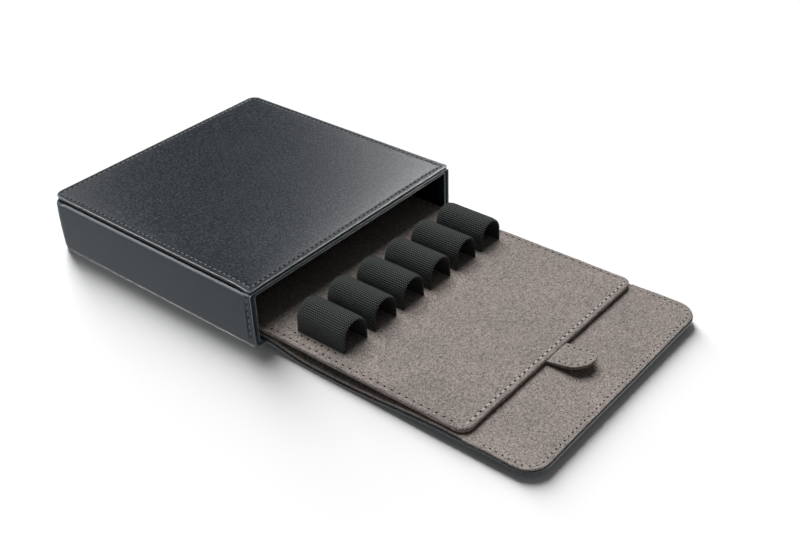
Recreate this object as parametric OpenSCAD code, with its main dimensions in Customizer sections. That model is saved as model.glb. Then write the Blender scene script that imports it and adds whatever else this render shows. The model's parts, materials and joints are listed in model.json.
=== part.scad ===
// A leather pen case: a stiff sleeve that is open at one end, and a drawer that slides out of it.
// The drawer is a soft base with a stiffened tray of elastic loops on it.
// The base runs on past the tray as a flap, which folds up and closes the mouth of the sleeve.
// Millimetres. +Z is up, the mouth faces -Y, and the origin is the centre of the sleeve's bottom face.

/* [Sleeve] */
// Outside width, across the side leather
sleeve_w = 152.5; // [130:0.5:200]
// Outside depth, from the mouth to the back
sleeve_d = 151.5; // [120:0.5:200]
// Outside height
sleeve_h = 33.5; // [31:0.5:48]
// Radius of the upright back corners of the side leather
back_corner_r = 6.5; // [5.5:0.5:10]
// Radius of the panels' corners at the mouth
mouth_corner_r = 1.8; // [1.4:0.1:3]

/* [Sleeve layers] */
// Thickness of the stiff boards in the walls
board_t = 1.5; // [1:0.1:2]
// Thickness of the padded top panel, whose edge is rolled
top_panel_t = 2.2; // [1.6:0.1:2.8]
// Thickness of the bottom panel, whose edge is rolled
bottom_panel_t = 1.2; // [0.8:0.1:2]
// Thickness of the padded leather round the sides and the back
side_leather_t = 1.8; // [1.6:0.1:2.4]
// Radius of the side leather's round shoulders, under the top panel and over the bottom panel
shoulder_r = 1.6; // [0.8:0.1:1.6]
// Thickness of the lining
lining_t = 0.4; // [0.3:0.1:0.7]
// How far the panels' edges lie inside the side leather
panel_inset = 1.3; // [0.6:0.1:2]
// Depth of the turned rim round the mouth
rim_depth = 4; // [3:0.5:7]

/* [Drawer base and flap] */
// Thickness of the base's outer leather
base_leather_t = 1.5; // [1:0.1:2]
// Thickness of the base's suede
base_suede_t = 1.1; // [0.8:0.1:1.6]
// How far the closed flap stands above the top panel, for a finger
flap_lip = 6; // [3.5:0.5:8]
// Radius of the flap's front corners
flap_corner_r = 11; // [4:0.5:14]
// Thickness of the stiffening board in the flap
flap_board_t = 0.9; // [0.6:0.1:1.1]
// Width of the sewn border round the flap's board
flap_border = 3.8; // [3:0.1:4]

/* [Tray] */
// Length of the tray that stays inside the sleeve
tray_hold = 24; // [20:1:80]
// Thickness of each of the tray's suede layers
tray_suede_t = 0.9; // [0.6:0.1:1.4]
// Thickness of the board inside the tray
tray_board_t = 1.6; // [1:0.1:2.2]
// Width of the sewn border round the tray's board
tray_border = 5; // [3.5:0.5:8]
// Radius of the tray's front corners
tray_corner_r = 6; // [3:0.5:10]

/* [Elastic loops] */
// Inside width of a loop
loop_bore_w = 14.6; // [10:0.2:16]
// Inside height of a loop
loop_bore_h = 14.4; // [10:0.2:16]
// Thickness of the elastic
elastic_t = 1.2; // [0.8:0.1:1.6]
// Length of a loop along the pen
loop_len = 30; // [15:1:45]
// Distance from the tray's front edge back to the loops
loop_setback = 75.5; // [50:0.5:90]
// Distance from the tray's side edge to the outermost loop
loop_margin = 8.5; // [4:0.5:10]

/* [Pull tab] */
// Width of the tab, whose end is half round
tab_w = 17; // [14:1:28]
// Room above the tab where it stands up inside the closed mouth
tab_headroom = 0.5; // [0.4:0.1:4]
// Thickness of each of the tab's two suede layers
tab_layer_t = 0.9; // [0.6:0.1:1.1]
// Upward lean of the tab at rest, in degrees
tab_lean = 12; // [4:1:14]

/* [Magnets] */
// Length of each closing magnet
magnet_len = 20; // [10:1:30]
// Width of each closing magnet
magnet_w = 4; // [2:0.5:5]
// Distance of a magnet's middle from the middle of the case
magnet_x = 45; // [25:1:50]

/* [Clearances] */
// Height of the drawer's base above the sleeve's lining
slide_gap = 0.3; // [0.2:0.1:0.6]
// Gap between the drawer's base and the lining at each side
side_gap = 0.5; // [0.3:0.1:1]
// How far the tray's edge lies inside the edge of the base
tray_inset = 1.4; // [0.2:0.1:2]
// Gap behind the tray when the drawer is pushed in
back_gap = 1; // [0.5:0.1:3]
// Gap between the closed flap and the mouth
mouth_gap = 0.4; // [0.3:0.1:1]
// Distance from the tray's front edge to the crease of the flap
crease_reach = 3; // [2.6:0.1:5]
// Width of the crease, and of the bend at the root of the tab
crease_gap = 0.3; // [0.2:0.1:0.6]
// Room round a board or a magnet in its pocket
pocket_gap = 0.2; // [0.1:0.1:0.3]
// Room round a loop's foot in its slit
slit_gap = 0.1; // [0.1:0.1:0.4]

/* [Hidden] */
$fn = 48;
// Overshoot that keeps a cut clear of the faces it passes
cut = 1;
// Smallest radius of a corner that lies inside another
least_r = 0.5;
loop_count = 6;
right_angle = 90;
half_turn = 180;

// Plan of the sleeve
half_w = sleeve_w / 2;
mouth_y = -sleeve_d / 2;
back_y = sleeve_d / 2;
rim_back_y = mouth_y + rim_depth;
wall_t = side_leather_t + board_t + lining_t;
inner_half_w = half_w - wall_t;
inner_back_y = back_y - wall_t;
inner_corner_r = back_corner_r - wall_t;
straight_end_y = back_y - back_corner_r;
straight_len = straight_end_y - rim_back_y;

// Levels of the sleeve
floor_board_z = bottom_panel_t;
floor_lining_z = floor_board_z + board_t;
floor_z = floor_lining_z + lining_t;
top_panel_z = sleeve_h - top_panel_t;
roof_board_z = top_panel_z - board_t;
roof_z = roof_board_z - lining_t;
wall_h = top_panel_z - floor_board_z;

// Levels of the drawer
base_z = floor_z + slide_gap;
base_suede_z = base_z + base_leather_t;
tray_z = base_suede_z + base_suede_t;
tray_board_z = tray_z + tray_suede_t;
tray_top_suede_z = tray_board_z + tray_board_t;
tray_top_z = tray_top_suede_z + tray_suede_t;
flap_board_z = base_suede_z - flap_board_t;

// Plan of the drawer
base_half_w = inner_half_w - side_gap;
tray_half_w = base_half_w - tray_inset;
tray_setback = crease_reach - mouth_gap;
tray_len = inner_back_y - back_gap - mouth_y - tray_setback;
tray_front_y = mouth_y + tray_hold - tray_len;
tray_back_y = tray_front_y + tray_len;
crease_y = tray_front_y - crease_reach;
base_front_y = crease_y + crease_gap / 2;
flap_back_y = crease_y - crease_gap / 2;
flap_front_y = crease_y - (sleeve_h + flap_lip - tray_z);
flap_half_w = base_half_w;

// Loops
loop_outer_w = loop_bore_w + 2 * elastic_t;
loop_front_y = tray_front_y + loop_setback;
loop_first_x = -tray_half_w + loop_margin + loop_outer_w / 2;
loop_pitch = -2 * loop_first_x / (loop_count - 1);

// Tab
tab_front_y = tray_front_y - crease_gap;
tab_bend_y = tray_front_y - crease_gap / 2;
tab_bend_z = tray_top_suede_z;
tab_len = roof_z - tab_headroom - tab_bend_z;

// The closed flap's magnets stand opposite the magnets in the roof board
flap_magnet_y = crease_y - (roof_board_z + board_t / 2 - tray_z);
roof_magnet_y = rim_back_y + pocket_gap + magnet_w / 2;

leather_colour = [0.22, 0.24, 0.26];
side_colour = [0.26, 0.29, 0.31];
lining_colour = [0.08, 0.08, 0.09];
board_colour = [0.55, 0.50, 0.44];
suede_colour = [0.50, 0.47, 0.46];
elastic_colour = [0.18, 0.20, 0.19];
magnet_colour = [0.72, 0.72, 0.74];

// Rectangle between two y values, with round corners of one radius at each end
module rounded_plan(half_x, front_y, end_y, front_r, end_r) {
    centred_bar(half_x, front_y + front_r, end_y - end_r);
    centred_bar(half_x - front_r, front_y, end_y - end_r);
    centred_bar(half_x - end_r, front_y + front_r, end_y);
    for (side = [-1, 1]) {
        translate([side * (half_x - front_r), front_y + front_r]) circle(front_r);
        translate([side * (half_x - end_r), end_y - end_r]) circle(end_r);
    }
}

// Plain rectangle, the same either side of the middle
module centred_bar(half_x, front_y, end_y) {
    translate([-half_x, front_y]) square([2 * half_x, end_y - front_y]);
}

// Rectangle that is square at one end and has round corners at the other
module round_ended_plan(half_x, square_y, round_y, radius) {
    corner_y = round_y + sign(square_y - round_y) * radius;
    centred_bar(half_x, min(square_y, corner_y), max(square_y, corner_y));
    centred_bar(half_x - radius, min(square_y, round_y), max(square_y, round_y));
    for (side = [-1, 1]) {
        translate([side * (half_x - radius), corner_y]) circle(radius);
    }
}

// Plan of a layer of the sleeve's wall, with the round corners at the back only
module wall_plan(inset, front_y) {
    round_ended_plan(half_w - inset, front_y, back_y - inset, back_corner_r - inset);
}

// One layer of the wall, which runs round the sides and the back and is open at the mouth
module wall_layer(inset, thickness, low_z, high_z) {
    translate([0, 0, low_z])
        linear_extrude(high_z - low_z)
            difference() {
                wall_plan(inset, rim_back_y);
                wall_plan(inset + thickness, rim_back_y - cut);
            }
}

// Half disc of the rolled edge, with its flat side at x = 0
module roll_section(thickness) {
    intersection() {
        translate([0, thickness / 2]) circle(thickness / 2);
        square([thickness, thickness]);
    }
}

// Section of the side leather, with its inner face at x = 0 and a round shoulder above and below
module band_section() {
    intersection() {
        rounded_plan(side_leather_t, 0, wall_h, shoulder_r, shoulder_r);
        square([side_leather_t, wall_h]);
    }
}

// Straight stretch of an edge with a given section, from a start point along a heading in degrees
module edge_run(start, heading, length) {
    translate(start)
        rotate([right_angle, 0, heading])
            linear_extrude(length)
                children();
}

// Quarter turn of an edge with a given section round a corner
module edge_corner(centre, heading, radius) {
    translate(centre)
        rotate([0, 0, heading])
            rotate_extrude(angle = right_angle)
                translate([radius, 0])
                    children();
}

// A panel of the sleeve's depth, set in a little from the side leather, whose edge is rolled half round
module rolled_panel(thickness) {
    roll = thickness / 2;
    half_x = half_w - panel_inset - roll;
    front_y = mouth_y + roll;
    end_y = back_y - panel_inset - roll;
    front_r = mouth_corner_r - roll;
    end_r = back_corner_r - panel_inset - roll;
    side_len = end_y - end_r - front_y - front_r;
    linear_extrude(thickness)
        rounded_plan(half_x, front_y, end_y, front_r, end_r);
    edge_run([half_x, end_y - end_r, 0], 0, side_len) roll_section(thickness);
    edge_run([-half_x, front_y + front_r, 0], half_turn, side_len) roll_section(thickness);
    edge_run([half_x - front_r, front_y, 0], -right_angle, 2 * (half_x - front_r)) roll_section(thickness);
    edge_run([-half_x + end_r, end_y, 0], right_angle, 2 * (half_x - end_r)) roll_section(thickness);
    edge_corner([half_x - end_r, end_y - end_r, 0], 0, end_r) roll_section(thickness);
    edge_corner([-half_x + end_r, end_y - end_r, 0], right_angle, end_r) roll_section(thickness);
    edge_corner([-half_x + front_r, front_y + front_r, 0], half_turn, front_r) roll_section(thickness);
    edge_corner([half_x - front_r, front_y + front_r, 0], -right_angle, front_r) roll_section(thickness);
}

// Straight board on one side of the sleeve
module side_board(side) {
    outer_x = half_w - side_leather_t;
    start_x = side > 0 ? outer_x - board_t : -outer_x;
    translate([start_x, rim_back_y, floor_board_z])
        cube([board_t, straight_len, wall_h]);
}

// Flat board or lining that fills the inside of the bent boards
module inner_plate(low_z, thickness) {
    translate([0, 0, low_z])
        linear_extrude(thickness)
            wall_plan(side_leather_t + board_t, rim_back_y);
}

// Bar of the mouth's rim, whose nose is round and faces the mouth
module rim_bar(thickness, length) {
    roll = thickness / 2;
    linear_extrude(length) {
        translate([0, roll]) square([thickness, rim_depth - roll]);
        translate([roll, roll]) circle(roll);
    }
}

// Bar along the top or bottom of the mouth
module rim_crossbar(low_z, high_z) {
    translate([-half_w, mouth_y, high_z])
        rotate([0, right_angle, 0])
            rim_bar(high_z - low_z, sleeve_w);
}

// Outside of the rim, with the same shoulders as the side leather
module rim_outside() {
    translate([0, rim_back_y, floor_board_z])
        rotate([right_angle, 0, 0])
            linear_extrude(rim_depth)
                rounded_plan(half_w, 0, wall_h, shoulder_r, shoulder_r);
}

// A pair of magnet bars, the same either side of the middle
module magnet_pair(middle_y, low_z, thickness, room) {
    for (side = [-1, 1]) {
        translate([side * magnet_x - magnet_len / 2 - room, middle_y - magnet_w / 2 - room, low_z])
            cube([magnet_len + 2 * room, magnet_w + 2 * room, thickness]);
    }
}

// Plan of the base, square at the crease, whose back corners follow the inside of the sleeve
module base_plan() {
    round_ended_plan(base_half_w, base_front_y, tray_back_y, inner_corner_r);
}

// Plan of the tray, whose back corners follow the inside of the sleeve
module tray_plan() {
    rounded_plan(tray_half_w, tray_front_y, tray_back_y, tray_corner_r, inner_corner_r);
}

// Plan of the tray's board, or of the pocket round it
module tray_board_plan(inset) {
    radius = max(tray_corner_r - inset, least_r);
    rounded_plan(tray_half_w - inset, tray_front_y + inset, tray_back_y - inset, radius, radius);
}

// Plan of the flap, with round front corners and a square crease
module flap_plan(inset) {
    radius = max(flap_corner_r - inset, least_r);
    round_ended_plan(flap_half_w - inset, flap_back_y - inset, flap_front_y + inset, radius);
}

// Arch of one loop above the tray's board, of a given half width and with feet that reach down to a level
module loop_arch(radius, foot) {
    spring_h = tray_suede_t + loop_bore_h - loop_bore_w / 2;
    translate([-radius, foot]) square([2 * radius, spring_h - foot]);
    translate([0, spring_h])
        intersection() {
            circle(radius);
            translate([-radius, 0]) square([2 * radius, radius]);
        }
}

// A loop stands on the tray's board, with its feet through slits in the upper suede
module elastic_loop(index) {
    color(elastic_colour)
        translate([loop_first_x + index * loop_pitch, loop_front_y + loop_len, tray_top_suede_z])
            rotate([right_angle, 0, 0])
                linear_extrude(loop_len)
                    difference() {
                        loop_arch(loop_outer_w / 2, 0);
                        loop_arch(loop_bore_w / 2, -cut);
                    }
}

// Plan of the slits that the loops' feet pass through
module loop_slits() {
    for (index = [0 : loop_count - 1]) {
        for (side = [-1, 1]) {
            foot_x = loop_first_x + index * loop_pitch + side * (loop_bore_w + elastic_t) / 2;
            translate([foot_x - elastic_t / 2 - slit_gap, loop_front_y - slit_gap])
                square([elastic_t + 2 * slit_gap, loop_len + 2 * slit_gap]);
        }
    }
}

// Plan of the tab, straight at its root and half round at its end
module tab_plan() {
    radius = tab_w / 2;
    straight = tab_len - crease_gap - radius;
    translate([-radius, -straight]) square([tab_w, straight]);
    translate([0, -straight])
        intersection() {
            circle(radius);
            translate([-radius, -radius]) square([tab_w, radius]);
        }
}

// One layer of the tab, leaning up from the bend at its root
module tab_layer(level) {
    translate([0, tab_bend_y, tab_bend_z])
        rotate([-tab_lean, 0, 0])
            translate([0, tab_front_y - tab_bend_y, (level - 2) * tab_layer_t])
                linear_extrude(tab_layer_t)
                    tab_plan();
}

module bottom_leather() {
    color(leather_colour) rolled_panel(bottom_panel_t);
}

module bottom_board() {
    color(board_colour) inner_plate(floor_board_z, board_t);
}

module left_board() {
    color(board_colour) side_board(-1);
}

module right_board() {
    color(board_colour) side_board(1);
}

// The back board is bent round both back corners
module back_board() {
    color(board_colour)
        intersection() {
            wall_layer(side_leather_t, board_t, floor_board_z, top_panel_z);
            translate([-half_w, straight_end_y, 0]) cube([sleeve_w, back_corner_r, sleeve_h]);
        }
}

module top_board() {
    color(board_colour)
        difference() {
            inner_plate(roof_board_z, board_t);
            magnet_pair(roof_magnet_y, roof_board_z - cut, board_t + 2 * cut, pocket_gap);
        }
}

module top_leather() {
    color(leather_colour)
        translate([0, 0, top_panel_z])
            rolled_panel(top_panel_t);
}

// One band of leather runs round the sides and the back, with a groove between it and each panel
module side_leather() {
    inner_x = half_w - side_leather_t;
    corner_x = half_w - back_corner_r;
    bend_r = back_corner_r - side_leather_t;
    color(side_colour)
        translate([0, 0, floor_board_z]) {
            edge_run([inner_x, straight_end_y, 0], 0, straight_len) band_section();
            edge_run([-inner_x, rim_back_y, 0], half_turn, straight_len) band_section();
            edge_run([-corner_x, back_y - side_leather_t, 0], right_angle, 2 * corner_x) band_section();
            edge_corner([corner_x, straight_end_y, 0], 0, bend_r) band_section();
            edge_corner([-corner_x, straight_end_y, 0], right_angle, bend_r) band_section();
        }
}

module bottom_lining() {
    color(lining_colour) inner_plate(floor_lining_z, lining_t);
}

module side_lining() {
    color(lining_colour) wall_layer(side_leather_t + board_t, lining_t, floor_z, roof_z);
}

module top_lining() {
    color(lining_colour) inner_plate(roof_z, lining_t);
}

module mouth_rim() {
    color(side_colour)
        intersection() {
            union() {
                translate([-half_w, mouth_y, floor_board_z]) rim_bar(wall_t, wall_h);
                translate([inner_half_w, mouth_y, floor_board_z]) rim_bar(wall_t, wall_h);
                rim_crossbar(floor_board_z, floor_z);
                rim_crossbar(roof_z, top_panel_z);
            }
            rim_outside();
        }
}

module sleeve_magnets() {
    color(magnet_colour) magnet_pair(roof_magnet_y, roof_board_z, board_t, 0);
}

module base_leather() {
    color(leather_colour)
        translate([0, 0, base_z])
            linear_extrude(base_leather_t)
                base_plan();
}

module base_suede() {
    color(suede_colour)
        translate([0, 0, base_suede_z])
            linear_extrude(base_suede_t)
                base_plan();
}

// The lower suede is turned up round the board, so it holds the board in a pocket
module tray_bottom_suede() {
    color(suede_colour)
        difference() {
            translate([0, 0, tray_z])
                linear_extrude(tray_suede_t + tray_board_t)
                    tray_plan();
            translate([0, 0, tray_board_z])
                linear_extrude(tray_board_t + cut)
                    tray_board_plan(tray_border - pocket_gap);
        }
}

module tray_board() {
    color(board_colour)
        translate([0, 0, tray_board_z])
            linear_extrude(tray_board_t)
                tray_board_plan(tray_border);
}

module tray_top_suede() {
    color(suede_colour)
        translate([0, 0, tray_top_suede_z])
            linear_extrude(tray_suede_t)
                difference() {
                    tray_plan();
                    loop_slits();
                }
}

// The flap's leather is turned up round the board in the same way
module flap_leather() {
    color(leather_colour)
        difference() {
            translate([0, 0, base_z])
                linear_extrude(base_leather_t)
                    flap_plan(0);
            translate([0, 0, flap_board_z])
                linear_extrude(flap_board_t + cut)
                    flap_plan(flap_border - pocket_gap);
        }
}

module flap_board() {
    color(board_colour)
        difference() {
            translate([0, 0, flap_board_z])
                linear_extrude(flap_board_t)
                    flap_plan(flap_border);
            magnet_pair(flap_magnet_y, flap_board_z - cut, flap_board_t + 2 * cut, pocket_gap);
        }
}

module flap_suede() {
    color(suede_colour)
        translate([0, 0, base_suede_z])
            linear_extrude(base_suede_t)
                flap_plan(0);
}

module flap_magnets() {
    color(magnet_colour) magnet_pair(flap_magnet_y, flap_board_z, flap_board_t, 0);
}

module pull_tab_back() {
    color(suede_colour) tab_layer(0);
}

module pull_tab_top() {
    color(suede_colour) tab_layer(1);
}

bottom_leather();
bottom_board();
left_board();
right_board();
back_board();
top_board();
top_leather();
side_leather();
bottom_lining();
side_lining();
top_lining();
mouth_rim();
sleeve_magnets();
base_leather();
base_suede();
tray_bottom_suede();
tray_board();
tray_top_suede();
elastic_loop(0);  // elastic_loop_1
elastic_loop(1);  // elastic_loop_2
elastic_loop(2);  // elastic_loop_3
elastic_loop(3);  // elastic_loop_4
elastic_loop(4);  // elastic_loop_5
elastic_loop(5);  // elastic_loop_6
flap_leather();
flap_board();
flap_suede();
flap_magnets();
pull_tab_back();
pull_tab_top();
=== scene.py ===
"""The looks of a leather pen case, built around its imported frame. Sizes are in millimetres."""
import functools
import json
import math
import random

import bmesh
import bpy
from mathutils import Matrix, Vector


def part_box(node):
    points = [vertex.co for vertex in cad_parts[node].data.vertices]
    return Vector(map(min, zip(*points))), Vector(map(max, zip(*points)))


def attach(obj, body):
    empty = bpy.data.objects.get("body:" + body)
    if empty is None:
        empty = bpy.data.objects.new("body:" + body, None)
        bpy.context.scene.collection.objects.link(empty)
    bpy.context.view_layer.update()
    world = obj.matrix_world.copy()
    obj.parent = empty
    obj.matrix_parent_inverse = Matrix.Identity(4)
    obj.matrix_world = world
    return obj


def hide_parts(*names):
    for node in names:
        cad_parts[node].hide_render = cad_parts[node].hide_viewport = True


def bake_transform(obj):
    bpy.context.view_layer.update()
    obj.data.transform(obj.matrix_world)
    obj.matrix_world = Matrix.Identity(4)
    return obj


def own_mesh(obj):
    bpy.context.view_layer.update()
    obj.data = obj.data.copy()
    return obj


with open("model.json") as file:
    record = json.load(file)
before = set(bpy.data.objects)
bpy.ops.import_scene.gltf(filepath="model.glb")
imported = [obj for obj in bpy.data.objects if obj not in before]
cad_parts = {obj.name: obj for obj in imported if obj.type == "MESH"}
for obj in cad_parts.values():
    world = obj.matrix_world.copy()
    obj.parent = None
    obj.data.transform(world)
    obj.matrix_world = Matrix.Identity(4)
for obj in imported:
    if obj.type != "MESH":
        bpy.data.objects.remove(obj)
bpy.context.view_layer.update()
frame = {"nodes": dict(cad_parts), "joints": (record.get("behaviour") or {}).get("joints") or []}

MM = 0.001
dice = random.Random(11)

# The photograph's camera, as it was measured on the case's corners
CAMERA_AZIMUTH = -49.63
CAMERA_ELEVATION = 34.31
CAMERA_ROLL = -1.94
CAMERA_TARGET = (-2.95, -105.44, 15.0)
CAMERA_DISTANCE = 562.4
FOCAL_PIXELS = 1128.2
IMAGE_WIDTH = 800
SENSOR_WIDTH = 36.0

# Mesh steps, the least radius of a corner, and an inset near the middle of a panel
STRAIGHT_STEPS = 40
CORNER_STEPS = 7
LEAST_CORNER_R = 0.4
DEEP_INSET = 60.0

# Sleeve
PANEL_FRONT_R = 1.8
PANEL_BACK_R = 5.2
BAND_BACK_R = 6.5
LINING_BACK_R = 3.2
RIM_OUTER_R = 1.6
RIM_INNER_R = 0.7
RIM_SEAM = 2.6
SHOULDER_R = 1.6
TOP_SHOULDER_R = 3.2
TOP_SHOULDER_END = 54.0
GROOVE_TOP = 1.0
GROOVE_DEPTH = 2.0
BOTTOM_LIP = 0.6
SIDE_BULGE = 0.3
PANEL_CROWN = 1.2
CROWN_REACH = 9.0
MOUTH_FLARE = 0.8
MOUTH_DIP = 0.35
FLARE_REACH = 11.0
FLARE_WIDTH = 9.0
UNDERCUT = 0.42
EDGE_R = 0.5
# Radii of the pale edge lines, which are partly edge paint and partly painted highlights of rounded edges
EDGE_PAINT_AND_HIGHLIGHT_R = 0.3
BOTTOM_PAINT_AND_HIGHLIGHT_R = 0.44
CREASE_INSET = 1.45
CREASE_DEPTH = 0.12
CREASE_WIDTH = 0.2
SEAM_INSET = 2.65
SEAM_DEPTH = 0.36
LEATHER_CHANNEL = 0.8
THREAD_LIFT = 0.14

# Drawer
TRAY_FRONT_R = 6.0
INNER_BACK_R = 2.8
FLAP_CORNER_R = 11.0
FLAP_CURL = 0.3
SAG_DEPTH = 3.3
SAG_START = 0.5
SAG_REACH = 30.0
SAG_LOWEST = 18.0
SAG_END = 8.0
SEAM_BEHIND_TRAY = 1.1
FOLD_START = 2.5
FOLD_END = 2.5

# Elastic
LOOP_COUNT = 6
ELASTIC_THICK = 1.2
FOOT_LIFT = 0.1
RIB_PITCH = 1.1
RIB_HEIGHT = 0.12
RIB_STEPS = 4
BEAD_PITCH = 1.1

# Sewing
LEATHER_PITCH = 3.3
RIM_PITCH = 3.6
TRAY_FRONT_PITCH = 3.7
TRAY_SIDE_PITCH = 4.05
FLAP_PITCH = 3.15
STITCH_SHARE = 0.7
CLOSE_SHARE = 0.6
STITCH_WIDTH = 0.6
STITCH_HEIGHT_SHARE = 0.8
HOLE_WIDTH = 0.9
HOLE_LENGTH_SHARE = 1.2
HOLE_DEPTH = 0.16
NEEDLE_SLANT = 4.0

# Light: each lamp's azimuth and elevation in degrees, then its own measures
# The case's key has its angle across in degrees and its strength
CASE_KEY = (35.0, 67.0, 46.0, 3.4)
# The floor's key has its distance, width and height in metres and its watts
FLOOR_KEY = (28.0, 40.0, 20.0, 5.6, 25.0, 7250.0)
# Each box for sheen has its name before them, and after them its size in metres and its watts
# Its last value says whether it lights only the side leather, the rim and the pale edge lines, which are edge
# paint and painted highlight
SHEEN_BOXES = (
    ("mouth_sheen", 71.0, 36.0, 0.3, 3.6, False),
    ("back_sheen", 8.0, 28.0, 0.3, 1.0, False),
    ("shoulder_sheen", -49.0, 33.0, 0.4, 11.0, True),
    ("lip_sheen", 112.0, 40.0, 0.3, 9.0, True),
)
SHEEN_DISTANCE = 0.8
SHEEN_TARGET = (0, 0, 0.03)
ROOM_STRENGTH = 0.1
FLOOR_SHOWN = 1.0
FLOOR_LIT = 0.8


@functools.cache
def box(node):
    """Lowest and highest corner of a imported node."""
    low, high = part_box(node)
    return low / MM, high / MM


def ramp01(value, start, end):
    """Smooth step from 0 at start to 1 at end."""
    share = min(1.0, max(0.0, (value - start) / (end - start)))
    return share * share * (3 - 2 * share)


def srgb(red, green, blue):
    """A colour that is written as a screen shows it, from 0 to 255, as linear light."""
    linear = []
    for channel in (red, green, blue):
        value = channel / 255
        linear.append(value / 12.92 if value <= 0.04045 else ((value + 0.055) / 1.055) ** 2.4)
    return (*linear, 1.0)


# Materials

# Most of a noise lies between these values
NOISE_LOW = 0.3
NOISE_HIGH = 0.7


class Graph:
    """A new material with one principled shader, and short ways to add nodes to it."""

    def __init__(self, name, **sockets):
        self.material = bpy.data.materials.new(name)
        self.material.use_nodes = True
        self.tree = self.material.node_tree
        self.shader = self.tree.nodes["Principled BSDF"]
        for socket, value in sockets.items():
            self.shader.inputs[socket.replace("_", " ")].default_value = value
        self.place = self.add("ShaderNodeTexCoord").outputs["Object"]

    def add(self, kind, inputs=None, **settings):
        node = self.tree.nodes.new(kind)
        for name, value in settings.items():
            setattr(node, name, value)
        for name, value in (inputs or {}).items():
            self.set(node.inputs[name], value)
        return node

    def set(self, socket, value):
        if isinstance(value, bpy.types.NodeSocket):
            self.tree.links.new(value, socket)
        else:
            socket.default_value = value

    def noise(self, scale, detail=2.0, rough=0.5, place=None, twist=0.0):
        inputs = {"Vector": place or self.place, "Scale": scale, "Detail": detail, "Roughness": rough,
                  "Distortion": twist}
        return self.add("ShaderNodeTexNoise", inputs).outputs["Fac"]

    def cells(self, scale):
        inputs = {"Vector": self.place, "Scale": scale}
        return self.add("ShaderNodeTexVoronoi", inputs).outputs["Distance"]

    def math(self, operation, first, second=0.0):
        node = self.add("ShaderNodeMath", {0: first, 1: second}, operation=operation)
        return node.outputs[0]

    def stretch(self, factors):
        return self.add("ShaderNodeMapping", {"Vector": self.place, "Scale": factors}).outputs[0]

    def ramp(self, share, low, high, from_low=NOISE_LOW, from_high=NOISE_HIGH):
        """A colour between two, as a share runs from one value to another."""
        mix = self.add("ShaderNodeMix", data_type="RGBA")
        self.set(mix.inputs["Factor"], self.span(share, 0.0, 1.0, from_low, from_high))
        self.set(mix.inputs[6], low)
        self.set(mix.inputs[7], high)
        return mix.outputs[2]

    def span(self, share, low, high, from_low=0.0, from_high=1.0):
        """A number between two, as a share runs from one value to another."""
        span = {"Value": share, "From Min": from_low, "From Max": from_high, "To Min": low, "To Max": high}
        return self.add("ShaderNodeMapRange", span).outputs[0]

    def multiply(self, first, second):
        mix = self.add("ShaderNodeMix", data_type="RGBA", blend_type="MULTIPLY")
        mix.inputs["Factor"].default_value = 1.0
        self.set(mix.inputs[6], first)
        self.set(mix.inputs[7], second)
        return mix.outputs[2]

    def bump(self, height, depth, strength):
        inputs = {"Height": height, "Distance": depth * MM, "Strength": strength}
        return self.add("ShaderNodeBump", inputs).outputs[0]

    def finish(self, colour, roughness=None, normal=None):
        self.set(self.shader.inputs["Base Color"], colour)
        if roughness is not None:
            self.set(self.shader.inputs["Roughness"], roughness)
        if normal is not None:
            self.set(self.shader.inputs["Normal"], normal)
        return self.material


def leather(name, dark, light, grain_scale, grain_depth, rough, sparkle, shine=0.3):
    """Finished cowhide: close pebbles, fine wrinkles, small flecks and slow changes of tone; the darker
    flecks are the grain's own tone and the bright ones are painted glints.
    """
    graph = Graph(name, Specular_IOR_Level=shine)
    pebbles = graph.cells(grain_scale)
    wrinkles = graph.noise(grain_scale * 1.6, 2, 0.6)
    tone = graph.noise(38, 3, 0.55)
    fleck_and_glint_noise = graph.noise(grain_scale * 0.65, 2, 0.6)
    body = graph.ramp(tone, dark, light)
    # Flecks run from darker specks to bright ones up to about three times the leather's colour: the bright
    # ones are painted glints of the grain
    least, most = 1 - 0.6 * sparkle, 1 + 2 * sparkle
    fleck_and_glint = graph.ramp(fleck_and_glint_noise, (least, least, least, 1), (most, most, most, 1), 0.43, 0.66)
    height = graph.math("ADD", graph.math("MULTIPLY", pebbles, -1.0), graph.math("MULTIPLY", wrinkles, 0.6))
    gloss = graph.span(wrinkles, rough - 0.08, rough + 0.1, NOISE_LOW, NOISE_HIGH)
    return graph.finish(graph.multiply(body, fleck_and_glint), gloss, graph.bump(height, grain_depth, 0.8))


def suede(name, grey, brown):
    """Split leather with a short nap: curled clumps of fibre, dark specks and brushed patches."""
    graph = Graph(name, Sheen_Weight=0.15, Sheen_Roughness=0.5, Specular_IOR_Level=0.12)
    brushed = graph.noise(30, 3, 0.6)
    clumps = graph.noise(1300, 2, 0.6, twist=1.1)
    fibres = graph.noise(1900, 2, 0.7, graph.stretch((1.0, 0.55, 1.0)))
    body = graph.ramp(brushed, grey, brown, 0.32, 0.68)
    clump = graph.ramp(clumps, (0.4, 0.39, 0.38, 1), (1.5, 1.5, 1.5, 1), 0.35, 0.63)
    height = graph.math("ADD", clumps, graph.math("MULTIPLY", fibres, 0.4))
    rough = graph.span(clumps, 0.82, 0.97)
    return graph.finish(graph.multiply(body, clump), rough, graph.bump(height, 0.45, 1.0))


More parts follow.
